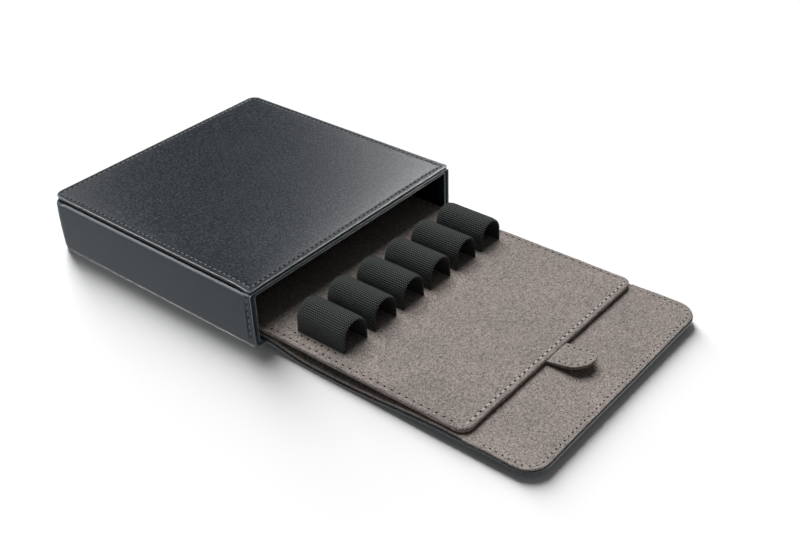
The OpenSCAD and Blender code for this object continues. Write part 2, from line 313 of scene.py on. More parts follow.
def elastic():
    """Woven elastic: rows of small beads, each row set half a bead from the next."""
    graph = Graph("elastic", Sheen_Weight=0.12, Specular_IOR_Level=0.25)
    cloth = graph.add("ShaderNodeUVMap", uv_map="cloth").outputs[0]
    axes = graph.add("ShaderNodeSeparateXYZ", {0: cloth})
    row = graph.math("FLOOR", axes.outputs["X"])
    shift = graph.math("MULTIPLY", graph.math("MODULO", row, 2.0), 0.5)
    across = graph.math("PINGPONG", axes.outputs["X"], 0.5)
    along = graph.math("PINGPONG", graph.math("ADD", axes.outputs["Y"], shift), 0.5)
    swell = graph.span(along, 0.4, 2.6, 0.0, 0.5)
    bead = graph.math("MULTIPLY", across, swell)
    yarn = graph.noise(2600, 2, 0.6)
    height = graph.math("ADD", bead, graph.math("MULTIPLY", yarn, 0.3))
    weave = graph.ramp(bead, srgb(3, 4, 4), srgb(94, 101, 98), 0.16, 0.8)
    worn = graph.ramp(yarn, (0.75, 0.75, 0.75, 1), (1.2, 1.2, 1.2, 1))
    rough = graph.span(yarn, 0.7, 0.92)
    return graph.finish(graph.multiply(weave, worn), rough, graph.bump(height, 0.3, 0.9))


def lining():
    """Thin black cloth in a plain weave."""
    graph = Graph("lining", Specular_IOR_Level=0.2)
    warp = graph.add("ShaderNodeTexWave", {"Vector": graph.place, "Scale": 330.0}, bands_direction="X")
    weft = graph.add("ShaderNodeTexWave", {"Vector": graph.place, "Scale": 330.0}, bands_direction="Y")
    weave = graph.math("MAXIMUM", warp.outputs["Fac"], weft.outputs["Fac"])
    slub = graph.noise(240, 3, 0.6)
    colour = graph.ramp(slub, srgb(13, 13, 14), srgb(30, 30, 32))
    return graph.finish(colour, graph.span(slub, 0.75, 0.95), graph.bump(weave, 0.12, 0.6))


def one_noise(name, dark, light, noise, gloss, relief=None, stretch=None, **sockets):
    """A finish whose colour, gloss and relief follow one noise."""
    graph = Graph(name, **sockets)
    grain = graph.noise(*noise, graph.stretch(stretch) if stretch else None)
    normal = graph.bump(grain, *relief) if relief else None
    return graph.finish(graph.ramp(grain, dark, light), graph.span(grain, *gloss), normal)


def greyboard():
    """Stiff board of pressed fibres."""
    return one_noise("board", srgb(112, 102, 90), srgb(158, 148, 132), (900, 4, 0.7), (0.8, 0.95),
                     (0.1, 0.5), stretch=(1.0, 0.3, 1.0), Specular_IOR_Level=0.2)


def plated_magnet():
    """Nickel plate over a magnet, with a fine brushed haze."""
    return one_noise("magnet", srgb(176, 176, 178), srgb(214, 213, 210), (700, 3, 0.6), (0.22, 0.4),
                     (0.02, 0.4), stretch=(0.15, 1.0, 1.0), Metallic=1.0)


def thread(name, dark, light):
    """Twisted sewing thread."""
    return one_noise(name, dark, light, (2400, 2, 0.6), (0.5, 0.75), (0.12, 0.8), Sheen_Weight=0.15,
                     Specular_IOR_Level=0.4)


def needle_hole(name, dark, light):
    """The shade at the bottom of a needle's hole."""
    return one_noise(name, dark, light, (1500, 2, 0.5), (0.9, 1.0), Specular_IOR_Level=0.05)


GRAINED = leather("grained_leather", srgb(34, 39, 44), srgb(38, 43, 48), 1500, 0.1, 0.34, 0.9)
SMOOTH = leather("smooth_leather", srgb(27, 45, 54), srgb(34, 51, 60), 1300, 0.04, 0.45, 0.08)
# Pale edge paint, much lighter than the leather, so that its thin lines also paint the highlights of rounded
# edges
EDGE_PAINT_AND_HIGHLIGHT = leather("edge_paint_and_highlight", srgb(98, 108, 112), srgb(120, 130, 134), 1300, 0.03, 0.36, 0.08, 0.65)
SUEDE = suede("suede", srgb(139, 132, 128), srgb(154, 144, 139))
ELASTIC = elastic()
LINING = lining()
BOARD = greyboard()
MAGNET = plated_magnet()
GREY_THREAD = thread("grey_thread", srgb(104, 109, 112), srgb(152, 157, 159))
PALE_THREAD = thread("pale_thread", srgb(176, 172, 168), srgb(216, 213, 209))
TAUPE_THREAD = thread("taupe_thread", srgb(124, 117, 113), srgb(158, 151, 147))
STONE_THREAD = thread("stone_thread", srgb(150, 145, 140), srgb(190, 186, 181))
DARK_HOLE = needle_hole("leather_hole", srgb(9, 10, 11), srgb(20, 21, 23))
SUEDE_HOLE = needle_hole("suede_hole", srgb(24, 21, 20), srgb(46, 41, 39))


# Meshes

def mesh_piece(name, points, faces, material, body=None, crease=35.0):
    """A piece made of points in millimetres, with its faces turned outwards."""
    mesh = bpy.data.meshes.new(name)
    mesh.from_pydata([Vector(point) * MM for point in points], [], faces)
    mesh.materials.append(material)
    shape = bmesh.new()
    shape.from_mesh(mesh)
    bmesh.ops.recalc_face_normals(shape, faces=shape.faces)
    shape.to_mesh(mesh)
    shape.free()
    mesh.shade_smooth()
    mesh.set_sharp_from_angle(angle=math.radians(crease))
    piece = bpy.data.objects.new(name, mesh)
    bpy.context.scene.collection.objects.link(piece)
    if body:
        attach(piece, body)
    return piece


def stand_for(piece, slot, *nodes):
    """Hides these nodes, whose place the piece takes."""
    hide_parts(*nodes)


def soften(piece, width):
    """Rounds the sharp edges of a piece for good."""
    bevel = piece.modifiers.new("edges", "BEVEL")
    bevel.width = width * MM
    bevel.segments = 3
    bevel.limit_method = "ANGLE"
    bevel.angle_limit = math.radians(50)
    shown = piece.evaluated_get(bpy.context.evaluated_depsgraph_get())
    rounded = bpy.data.meshes.new_from_object(shown)
    piece.modifiers.clear()
    piece.data = rounded


def loft(rings, closed=False):
    """Points and faces of a skin through rings of points. An open skin has both ends capped."""
    count = len(rings[0])
    points = [point for ring in rings for point in ring]
    faces = []
    for index in range(len(rings) if closed else len(rings) - 1):
        lower = index * count
        upper = (index + 1) % len(rings) * count
        for step in range(count):
            following = (step + 1) % count
            faces.append((lower + step, lower + following, upper + following, upper + step))
    if not closed:
        faces.append(tuple(reversed(range(count))))
        faces.append(tuple(range(len(points) - count, len(points))))
    return points, faces


def between(first, last, count):
    """Points on the line between two, without its ends."""
    shares = [(step + 1) / (count + 1) for step in range(count)]
    return [tuple(a + (b - a) * share for a, b in zip(first, last)) for share in shares]


def outline(half_x, front_y, back_y, front_r, back_r):
    """Rectangle with round corners, anticlockwise from its front right corner."""
    corners = (
        (half_x - front_r, front_y + front_r, front_r, -90),
        (half_x - back_r, back_y - back_r, back_r, 0),
        (-half_x + back_r, back_y - back_r, back_r, 90),
        (-half_x + front_r, front_y + front_r, front_r, 180),
    )
    arcs = []
    for x, y, radius, start in corners:
        angles = [math.radians(start + 90 * step / CORNER_STEPS) for step in range(CORNER_STEPS + 1)]
        arcs.append([(x + radius * math.cos(angle), y + radius * math.sin(angle)) for angle in angles])
    points = []
    for bend, following in zip(arcs, arcs[1:] + arcs[:1]):
        points += bend + between(bend[-1], following[0], STRAIGHT_STEPS)
    return points


class Plan:
    """A rounded rectangle on the level, which can be drawn inside itself."""

    def __init__(self, low, high, front_r, back_r):
        self.half_x = high.x
        self.front_y = low.y
        self.back_y = high.y
        self.front_r = front_r
        self.back_r = back_r

    def ring(self, inset):
        front_r = max(self.front_r - inset, LEAST_CORNER_R)
        back_r = max(self.back_r - inset, LEAST_CORNER_R)
        return outline(self.half_x - inset, self.front_y + inset, self.back_y - inset, front_r, back_r)

    def slab(self, profile):
        """A closed slab through (inset, level) pairs, from under its middle round to over it."""
        return loft([[(x, y, level) for x, y in self.ring(inset)] for inset, level in profile])


def half_round(radius, low_z, steps=8):
    """Profile of a rolled edge, from its underside to its top."""
    middle_z = low_z + radius
    angles = [math.radians(-90 + 180 * step / steps) for step in range(steps + 1)]
    return [(radius - radius * math.cos(angle), middle_z + radius * math.sin(angle)) for angle in angles]


def seam_channel(inset, width, depth=SEAM_DEPTH):
    """Depth of the channel that a row of stitches pulls into a surface, at a distance from its edge."""
    return depth * math.exp(-(((inset - SEAM_INSET) / width) ** 2) * 2)


def sheet_slab(rows, columns, under, over):
    """A closed sheet over rows of (y, half width), between two heights that depend on x and y."""
    places = [(share * half_x, y) for y, half_x in rows for share in columns]
    points = [(x, y, over(x, y)) for x, y in places] + [(x, y, under(x, y)) for x, y in places]
    wide, long, down = len(columns), len(rows), len(places)
    faces = []
    for row in range(long - 1):
        for column in range(wide - 1):
            first = row * wide + column
            quad = (first, first + 1, first + wide + 1, first + wide)
            faces.append(quad)
            faces.append(tuple(down + corner for corner in reversed(quad)))
    edge = list(range(wide))
    edge += [row * wide + wide - 1 for row in range(1, long)]
    edge += [(long - 1) * wide + column for column in range(wide - 2, -1, -1)]
    edge += [row * wide for row in range(long - 2, 0, -1)]
    for here, following in zip(edge, edge[1:] + edge[:1]):
        faces.append((here, down + here, down + following, following))
    return points, faces


def round_backed(front_y, back_y, half_x, radius, step):
    """Rows of (y, half width) of a sheet whose back corners are round."""
    rows = [(y, half_x) for y in even(front_y, back_y - radius, step)]
    for angle in (15, 30, 45, 60, 75, 90):
        turn = math.radians(angle)
        rows.append((back_y - radius + radius * math.sin(turn), half_x - radius + radius * math.cos(turn)))
    return rows


def even(first, last, step):
    """Numbers from the first to the last, at about an even step."""
    count = max(1, round(abs(last - first) / step))
    return [first + (last - first) * index / count for index in range(count + 1)]


# Sewing

def walk(path, pitch):
    """Places at an even pitch along a path, each as a point and the way the path goes."""
    legs = [(Vector(a), Vector(b)) for a, b in zip(path, path[1:])]
    total = sum((b - a).length for a, b in legs)
    count = max(1, int(total / pitch))
    wanted = [total * (index + 0.5) / count for index in range(count)]
    places = []
    passed = 0.0
    for a, b in legs:
        length = (b - a).length
        while wanted and wanted[0] <= passed + length:
            share = (wanted.pop(0) - passed) / max(length, 1e-9)
            places.append((a.lerp(b, share), (b - a).normalized()))
        passed += length
    return places


def beads(places, length, width, height, normal):
    """Points and faces of one rounded bead at each place: a stitch, or, if short and flat, a needle's hole,
    whose dark finish paints the shade inside it.
    """
    sides = 8
    stations = (-0.97, -0.8, -0.45, 0.0, 0.45, 0.8, 0.97)
    up = Vector(normal)
    points, faces = [], []
    for centre, heading in places:
        lean = math.radians(dice.uniform(-NEEDLE_SLANT, NEEDLE_SLANT))
        ahead = Matrix.Rotation(lean, 3, up) @ heading
        beside = up.cross(ahead).normalized()
        size = dice.uniform(0.94, 1.06)
        rings = []
        for station in stations:
            swell = (1 - abs(station) ** 2.6) ** 0.5
            middle = centre + ahead * (station * length * size / 2)
            ring = []
            for side in range(sides):
                angle = 2 * math.pi * side / sides
                spoke = beside * math.cos(angle) * width + up * math.sin(angle) * height
                ring.append(middle + spoke * swell / 2)
            rings.append(ring)
        bead_points, bead_faces = loft(rings)
        first = len(points)
        points += bead_points
        faces += [tuple(first + corner for corner in face) for face in bead_faces]
    return points, faces


def sew(name, body, path, normal=(0, 0, 1), cloth=GREY_THREAD, hole=DARK_HOLE, pitch=LEATHER_PITCH,
        width=STITCH_WIDTH, hole_width=HOLE_WIDTH, share=STITCH_SHARE):
    """A row of stitches with a needle's hole between each and the next, each hole a flat dark bead of painted
    shade.
    """
    stitches = walk(path, pitch)
    strands = beads(stitches, pitch * share, width, width * STITCH_HEIGHT_SHARE, normal)
    row = mesh_piece(name, *strands, cloth, body)
    holes = [(centre + heading * pitch / 2, heading) for centre, heading in stitches]
    spots = beads(holes, hole_width * HOLE_LENGTH_SHARE, hole_width, HOLE_DEPTH, normal)
    dark = mesh_piece(name + "_holes", *spots, hole, body)


def closed(path):
    """The path, brought back to its start."""
    return path + path[:1]


# Sleeve

def top_panel():
    """The padded top panel, with a pale line of edge paint and painted highlight at its edge, a crease and a
    seam beside it.
    """
    low, high = box("top_leather")
    plan = Plan(low, high, PANEL_FRONT_R, PANEL_BACK_R)

    def settle(x, y, z):
        """The padding swells inside the edges, and the panel widens and dips at the mouth's corners."""
        if z > (low.z + high.z) / 2:
            swell = PANEL_CROWN
            for inside in (high.x - abs(x), y - low.y, high.y - y):
                swell *= 1 - math.exp(-max(0.0, inside - EDGE_R) / CROWN_REACH)
            z += swell
        near_mouth = 1 - ramp01(y, low.y, low.y + FLARE_REACH)
        near = near_mouth * ramp01(abs(x), high.x - FLARE_WIDTH, high.x)
        return x + math.copysign(MOUTH_FLARE * near, x), y, z - MOUTH_DIP * near

    profile = [(DEEP_INSET, low.z), (8.0, low.z), (UNDERCUT, low.z)]
    profile += [(UNDERCUT * 0.55, low.z + 0.6), (UNDERCUT * 0.16, low.z + 1.25)]
    for angle in (180, 157, 135, 112, 90):
        turn = math.radians(angle)
        profile.append((EDGE_R + EDGE_R * math.cos(turn), high.z - EDGE_R + EDGE_R * math.sin(turn)))
    insets = [0.8, 1.1, 1.3, 1.45, 1.6, 1.9, 2.2, 2.45, 2.65, 2.85, 3.1, 3.5, 4.2, 5.2, 6.5]
    insets += [8.5, 11.0, 15.0, 22.0, 32.0, 45.0, DEEP_INSET, 70.0]
    for inset in insets:
        crease = CREASE_DEPTH * math.exp(-(((inset - CREASE_INSET) / CREASE_WIDTH) ** 2))
        profile.append((inset, high.z - crease - seam_channel(inset, LEATHER_CHANNEL)))
    points, faces = plan.slab(profile)
    panel = mesh_piece("top_panel", [settle(*point) for point in points], faces, GRAINED, "sleeve")
    stand_for(panel, "grained_leather", "top_leather")

    def edge_ring(inset, level):
        return [settle(x, y, level) for x, y in plan.ring(inset)]

    # A pale line at the panel's outer edge: edge paint that also paints the highlight of the rounded edge
    line = edge_paint_and_highlight("top_edge_paint_and_highlight", (0.2, high.z - 0.3), edge_ring)
    seam_z = high.z - SEAM_DEPTH + THREAD_LIFT
    mouth_end_y = low.y + SEAM_INSET + 0.01
    ring = plan.ring(SEAM_INSET)
    mouth = sorted((x, y) for x, y in ring if y < mouth_end_y)
    rest = [(x, y) for x, y in ring[1:] + ring[:1] if y > mouth_end_y]
    sew("top_stitching", "sleeve", [settle(x, y, seam_z) for x, y in rest], hole_width=0.6)
    sew("mouth_stitching", "sleeve", [settle(x, y, seam_z) for x, y in mouth], pitch=FLAP_PITCH, width=0.7,
        hole_width=1.0, share=CLOSE_SHARE)
    return [line]


def bottom_panel():
    """The thin bottom panel, with a rolled edge, a pale line of edge paint and painted highlight along it,
    and a seam beside it.
    """
    low, high = box("bottom_leather")
    lip = Vector((BOTTOM_LIP, BOTTOM_LIP, 0))
    plan = Plan(low, high + lip, PANEL_FRONT_R, PANEL_BACK_R + BOTTOM_LIP)
    profile = [(DEEP_INSET, low.z), (3.9, low.z), (3.2, low.z + 0.1), (SEAM_INSET, low.z + 0.25)]
    profile += [(2.1, low.z + 0.1), (1.5, low.z)] + half_round((high.z - low.z) / 2, low.z)
    profile += [(8.0, high.z), (DEEP_INSET, high.z)]
    panel = mesh_piece("bottom_panel", *plan.slab(profile), GRAINED, "sleeve")
    stand_for(panel, "grained_leather", "bottom_leather")
    path = [(x, y, low.z + 0.28) for x, y in closed(plan.ring(SEAM_INSET))]
    sew("bottom_stitching", "sleeve", path, normal=(0, 0, -1), width=0.5)

    def edge_ring(inset, level):
        return [(x, y, level) for x, y in plan.ring(inset)]

    # A pale line along the rolled edge: edge paint that also paints its highlight
    return [edge_paint_and_highlight("bottom_edge_paint_and_highlight", (0.0, low.z + 0.72), edge_ring, BOTTOM_PAINT_AND_HIGHLIGHT_R)]


def edge_paint_and_highlight(name, place, ring_at, radius=EDGE_PAINT_AND_HIGHLIGHT_R):
    """A thin pale line along an edge, partly edge paint and partly a painted highlight, which ring_at draws
    at an inset and a level or depth.
    """
    rings = []
    for angle in (0, 60, 120, 180, 240, 300):
        turn = math.radians(angle)
        rings.append(ring_at(place[0] + radius * math.cos(turn), place[1] + radius * math.sin(turn)))
    line = mesh_piece(name, *loft(rings, closed=True), EDGE_PAINT_AND_HIGHLIGHT, "sleeve", crease=80)
    return line


def wall_path(half_x, front_y, back_y, radius, step=4.0, arc=8):
    """Points round the sides and the back, each with the way out of the sleeve."""
    path = [(-half_x, y, -1.0, 0.0) for y in even(front_y, back_y - radius, step)]
    for centre_x, start in ((-half_x + radius, 180), (half_x - radius, 90)):
        for index in range(arc + 1):
            angle = math.radians(start - 90 * index / arc)
            out_x, out_y = math.cos(angle), math.sin(angle)
            path.append((centre_x + radius * out_x, back_y - radius + radius * out_y, out_x, out_y))
        if start == 180:
            path += [(x, back_y, 0.0, 1.0) for x in even(-half_x + radius, half_x - radius, step)[1:-1]]
    path += [(half_x, y, 1.0, 0.0) for y in even(back_y - radius, front_y, step)[1:]]
    return path


def wall_band(path, section):
    """A band along a path of walls, through (way out, level) pairs."""
    return loft([[(x + nx * out, y + ny * out, z) for out, z in section] for x, y, nx, ny in path])


def side_band():
    """The strip of leather round the sides and the back, with a round shoulder beside each panel, and black
    cloth in the groove under the top panel as painted shade.
    """
    low, high = box("side_leather")
    path = wall_path(high.x, low.y, high.y, BAND_BACK_R)
    inner = box("right_board")[1].x - high.x + 0.02
    end = math.radians(TOP_SHOULDER_END)
    straight_z = low.z + SHOULDER_R
    tall = high.z - GROOVE_TOP - straight_z - TOP_SHOULDER_R * math.sin(end)
    shoulder_z = straight_z + tall
    groove_z = high.z - GROOVE_DEPTH
    section = [(inner, low.z)]
    for angle in (-90, -72, -54, -36, -18):
        turn = math.radians(angle)
        section.append((SHOULDER_R * (math.cos(turn) - 1), straight_z + SHOULDER_R * math.sin(turn)))
    for share in (0.0, 0.06, 0.15, 0.3, 0.5, 0.7, 0.85, 0.94, 1.0):
        section.append((SIDE_BULGE * math.sin(math.pi * share) ** 0.8, straight_z + tall * share))
    for step in range(1, 9):
        turn = end * step / 8
        section.append((TOP_SHOULDER_R * (math.cos(turn) - 1), shoulder_z + TOP_SHOULDER_R * math.sin(turn)))
    section.append((section[-1][0] - 0.1, high.z - GROOVE_TOP - 0.12))
    section += [(inner + 0.22, groove_z), (inner, groove_z)]
    band = mesh_piece("side_band", *wall_band(path, section), SMOOTH, "sleeve", crease=60)
    stand_for(band, "smooth_leather", "side_leather")
    # Black lining cloth deep in the groove under the top panel: partly the lining's edge over the board,
    # partly painted shade that keeps the groove dark
    shade = [(inner, groove_z - 0.3), (inner + 0.18, groove_z - 0.3)]
    shade += [(inner + 0.12, high.z - 0.02), (inner, high.z - 0.02)]
    inside = mesh_piece("groove_shade_lining", *wall_band(path, shade), LINING, "sleeve")
    return [band]


def linings():
    """Black cloth glued to the floor, the roof, the sides and the back of the sleeve."""
    low, high = box("side_lining")
    path = wall_path(high.x, low.y, high.y, LINING_BACK_R)
    thick = box("bottom_lining")[1].z - box("bottom_lining")[0].z
    section = [(0.0, high.z), (0.0, low.z)]
    for step in range(9):
        section.append((-thick + 0.05 * math.sin(2.1 * step), low.z + (high.z - low.z) * step / 8))
    walls = mesh_piece("wall_lining", *wall_band(path, section), LINING, "sleeve")
    stand_for(walls, "lining", "side_lining")

    def slack(x, y):
        """How far the cloth stands off its glue."""
        return 0.06 * (1 + math.sin(x * 0.31) * math.sin(y * 0.27))

    for name, node, upward in (("floor_lining", "bottom_lining", 1), ("roof_lining", "top_lining", 0)):
        low, high = box(node)
        rows = round_backed(low.y, high.y, high.x, LINING_BACK_R, 6.0)
        under = lambda x, y: low.z + (1 - upward) * slack(x, y)
        over = lambda x, y: high.z - upward * slack(x, y)
        plate = mesh_piece(name, *sheet_slab(rows, even(-1.0, 1.0, 0.08), under, over), LINING, "sleeve")
        stand_for(plate, "lining", node)


def mouth_rim():
    """The turned rim round the mouth: an outer and an inner lip, with the seam between them."""
    low, high = box("mouth_rim")
    floor_low, floor_high = box("bottom_lining")
    side_bar = high.x - box("side_lining")[1].x + floor_high.z - floor_low.z
    floor_bar, roof_bar = floor_high.z - low.z, high.z - box("top_lining")[0].z
    front_y, back_y = low.y, high.y
    nose, set_back, bend = 0.85, 0.12, 0.26

    def rim_ring(inset, y):
        """The rim's outline at a distance in from its outside, at a depth into the mouth."""
        share = inset / side_bar
        radius = RIM_OUTER_R + (RIM_INNER_R - RIM_OUTER_R) * share
        half_x, floor_z, roof_z = high.x - inset, low.z + floor_bar * share, high.z - roof_bar * share
        return [(x, y, z) for x, z in outline(half_x, floor_z, roof_z, radius, radius)]

    section = [(0.0, back_y), (0.0, front_y + 1.8)]
    for angle in (0, 22, 45, 67, 90):
        turn = math.radians(angle)
        section.append((bend * (1 - math.cos(turn)), front_y + nose * (1 - math.sin(turn))))
    section += [(0.38, front_y + 0.05), (0.45, front_y + 0.35), (0.5, front_y + 0.8), (0.55, front_y + 0.8)]
    section += [(0.6, front_y + 0.4), (0.67, front_y + set_back + 0.06)]
    for angle in (90, 67, 45, 22, 0):
        turn = math.radians(angle)
        share = 1.0 - bend * (1 - math.cos(turn))
        section.append((share, front_y + set_back + nose * (1 - math.sin(turn))))
    section += [(1.0, front_y + 1.8), (1.0, back_y)]
    rings = [rim_ring(side_bar * share, y) for share, y in section]
    rim = mesh_piece("turned_rim", *loft(rings, closed=True), SMOOTH, "sleeve", crease=50)
    stand_for(rim, "smooth_leather", "mouth_rim")

    edges = [rim]
    # Pale lines on the outer and inner lips: edge paint that also paints the lips' highlights
    for name, inset, lip_y in (("outer", 0.3, front_y), ("inner", side_bar - 0.3, front_y + set_back)):
        edges.append(edge_paint_and_highlight(f"{name}_edge_paint_and_highlight", (inset, lip_y + 0.24), rim_ring))
    levels = even(low.z + 1.8, high.z - 1.8, 2.0)
    for name, side in (("left", -1), ("right", 1)):
        path = [(side * (high.x + 0.02), front_y + RIM_SEAM, z) for z in levels]
        sew(f"{name}_rim_stitching", "sleeve", path, normal=(side, 0, 0), pitch=RIM_PITCH, share=CLOSE_SHARE)
    return edges


# Drawer

def sag(y):
    """How far the soft base hangs below the tray, between the mouth of the sleeve and the crease."""
    mouth_y, tray_front_y = box("mouth_rim")[0].y, box("tray_top_suede")[0].y
    lowest_y = mouth_y - SAG_REACH
    away = ramp01(-y, -(mouth_y - SAG_START), -lowest_y)
    back = ramp01(y, tray_front_y + SAG_END, lowest_y - SAG_LOWEST)
    return SAG_DEPTH * away * back


def wander(x, y):
    """Slow unevenness of a sheet of leather."""
    broad = 0.16 * math.sin(x * 0.083 + 0.6) * math.sin(y * 0.12 + 0.4)
    return broad + 0.07 * math.sin(x * 0.19 + y * 0.23)


def edge_shares(half_x):
    """Shares of a half width, close together by the edges and by the seam beside them."""
    insets = [0.0, 0.5, 1.3, 2.1, 2.7, 3.2, 3.7, 4.4, 6.0, 9.0] + even(13.0, half_x, 5.0)
    left = [-(1 - inset / half_x) for inset in insets]
    return left[:-1] + [0.0] + [-share for share in reversed(left[:-1])]


def base_sheet():
    """The soft base under the tray, which hangs to the table."""
    front_y = box("tray_top_suede")[0].y + SEAM_BEHIND_TRAY
    # The suede stops 0.9 mm inside the leather at the sides, so a dark border of leather shows beside the
    # tray; this border partly stands in as painted shade of the gap under the tray
    for name, node, slot, material, inset in (
        ("base_outer", "base_leather", "grained_leather", GRAINED, 0.0),
        ("base_inner", "base_suede", "suede", SUEDE, 0.9),
    ):
        low, high = box(node)
        rows = round_backed(front_y, high.y, high.x - inset, INNER_BACK_R, 2.5)
        under = lambda x, y: low.z - sag(y)
        over = lambda x, y: high.z - sag(y)
        sheet = mesh_piece(name, *sheet_slab(rows, edge_shares(high.x), under, over), material)
        soften(sheet, 0.4)
        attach(sheet, "tray")
        stand_for(sheet, slot, node)
        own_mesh(sheet)


def flap_rows(front_y, back_y, half_x, radius):
    """Rows of the flap from its front edge, which has round corners, to its back edge."""
    rows = []
    for angle in (90, 84, 78, 70, 62, 54, 45, 36, 27, 18, 9, 0):
        turn = math.radians(angle)
        rows.append((front_y + radius - radius * math.sin(turn), half_x - radius + radius * math.cos(turn)))
    return rows + [(y, half_x) for y in even(front_y + radius, back_y, 0.9)[1:]]


def flap():
    """The front of the base, drawn lying flat in front of the crease at the tray's front."""
    crease_y = frame["joints"][1]["pos_m"][1] / MM
    crease_z = frame["joints"][1]["pos_m"][2] / MM
    back_y = box("tray_top_suede")[0].y + SEAM_BEHIND_TRAY
    low, high = box("flap_suede")
    radius = FLAP_CORNER_R

    def from_edge(x, y):
        """Distance inside the flap's side and front edges."""
        across, ahead = high.x - abs(x), y - low.y
        if across < radius and ahead < radius:
            return radius - math.hypot(radius - across, radius - ahead)
        return min(across, ahead)

    def lift(x, y):
        """How far the flap stands off the level."""
        curl = FLAP_CURL * (1 - ramp01(from_edge(x, y), 0.0, 9.0))
        return (wander(x, y) + curl) * ramp01(-y, -crease_y, -crease_y + 8.0) - 0.05

    def suede_top(x, y):
        """Level of the flap's suede, with the channel of its seam."""
        return high.z + lift(x, y) - seam_channel(from_edge(x, y), 1.0, 0.22)

    shapes = (
        ("flap_outer", "flap_leather", "grained_leather", GRAINED, None),
        ("flap_inner", "flap_suede", "suede", SUEDE, suede_top),
    )
    for name, node, slot, material, top in shapes:
        node_low, node_high = box(node)
        inset = 0.35 if top else 0.0
        rows = flap_rows(node_low.y + inset, back_y, node_high.x - inset, radius - inset)
        under = lambda x, y: node_low.z + lift(x, y)
        over = top or (lambda x, y: node_high.z + lift(x, y))
        sheet = mesh_piece(name, *sheet_slab(rows, edge_shares(node_high.x), under, over), material)
        soften(sheet, 0.42 if top else 0.55)
        stand_for(sheet, slot, node)
        start, end = (0, crease_y + FOLD_START, crease_z), (0, crease_y - FOLD_END, crease_z)
        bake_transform(sheet)

    ring = outline(high.x - SEAM_INSET, low.y + SEAM_INSET, crease_y, radius - SEAM_INSET, 0.5)
    start = next(index for index, (x, y) in enumerate(ring) if x < 0 and y < crease_y - FOLD_END)
    around = ring[start:] + ring[:start]
    path = [(x, y, suede_top(x, y) + 0.06) for x, y in around if y < crease_y - FOLD_END]
    sew("flap_stitching", "flap", path, cloth=STONE_THREAD, hole=SUEDE_HOLE, pitch=FLAP_PITCH, width=0.62,
        hole_width=0.85, share=CLOSE_SHARE)


def sew_suede(name, path):
    """A row of fine thread that sinks into the tray's suede, so that its holes show more than it does."""
    sew(name, "tray", path, cloth=TAUPE_THREAD, hole=SUEDE_HOLE, pitch=TRAY_SIDE_PITCH, width=0.5,
        hole_width=1.05)


def tray():
    """Two layers of suede sewn together round the tray's board."""
    low, high = box("tray_bottom_suede")
    top_low, top_high = box("tray_top_suede")
    plan = Plan(low, high, TRAY_FRONT_R, INNER_BACK_R)

    def soft(points, phase):
        """The suede's edge wavers a little, as hand-cut edges do."""
        moved = []
        for x, y, z in points:
            near_x, near_y = ramp01(abs(x), high.x - 3.0, high.x), ramp01(-y, -low.y - 3.0, -low.y)
            x += 0.14 * near_x * math.sin(y * 0.31 + phase) * math.sin(y * 0.13 + 2 * phase)
            y += 0.16 * near_y * math.sin(x * 0.37 + phase) * math.sin(x * 0.15 + 2 * phase)
            moved.append((x, y, z))
        return moved

    lower = [(DEEP_INSET, low.z), (5.0, low.z), (2.4, low.z), (1.5, low.z + 0.2), (0.75, low.z + 0.6)]
    lower += [(0.25, low.z + 1.2), (0.05, low.z + 1.8), (0.04, high.z - 0.5), (0.14, high.z - 0.2)]
    lower += [(0.4, high.z), (4.0, high.z), (DEEP_INSET, high.z)]
    points, faces = plan.slab(lower)
    piece = mesh_piece("tray_underside", soft(points, 1.0), faces, SUEDE, "tray")
    stand_for(piece, "suede", "tray_bottom_suede")

    edge_r = top_high.z - top_low.z
    upper = [(DEEP_INSET, top_low.z), (4.0, top_low.z), (0.3, top_low.z)]
    for angle in (0, 20, 40, 60, 78):
        turn = math.radians(angle)
        level = top_low.z + 0.06 + (edge_r - 0.08) * math.sin(turn)
        upper.append((0.02 + edge_r * (1 - math.cos(turn)), level))
    for inset in (1.2, 1.6, 2.0, 2.3, 2.65, 3.0, 3.3, 3.8, 4.4, 5.2, 6.5, 10.0, 20.0, 40.0, DEEP_INSET):
        rise = 0.14 * ramp01(inset, 0.6, 2.0) + 0.06 * ramp01(inset, SEAM_INSET, 7.0)
        upper.append((inset, top_high.z + rise - seam_channel(inset, 0.8, 0.32)))
    points, faces = plan.slab(upper)
    piece = mesh_piece("tray_face", soft(points, 2.2), faces, SUEDE, "tray")
    stand_for(piece, "suede", "tray_top_suede")

    seam_z = top_high.z - 0.08
    ring = plan.ring(SEAM_INSET)
    bend_y = top_low.y + TRAY_FRONT_R
    front = sorted((x, y) for x, y in ring if y <= low.y + SEAM_INSET + 1.0)
    path = [(x, y, seam_z) for x, y in front]
    sew("tray_front_stitching", "tray", path, cloth=PALE_THREAD, hole=SUEDE_HOLE, pitch=TRAY_FRONT_PITCH,
        width=0.9, hole_width=1.1, share=0.58)
    side_x = high.x - SEAM_INSET
    for name, side in (("left", -1), ("right", 1)):
        path = [(side * side_x, y, seam_z) for y in even(bend_y - 1.0, top_high.y - SEAM_INSET, 3.0)]
        sew_suede(f"tray_{name}_stitching", path)


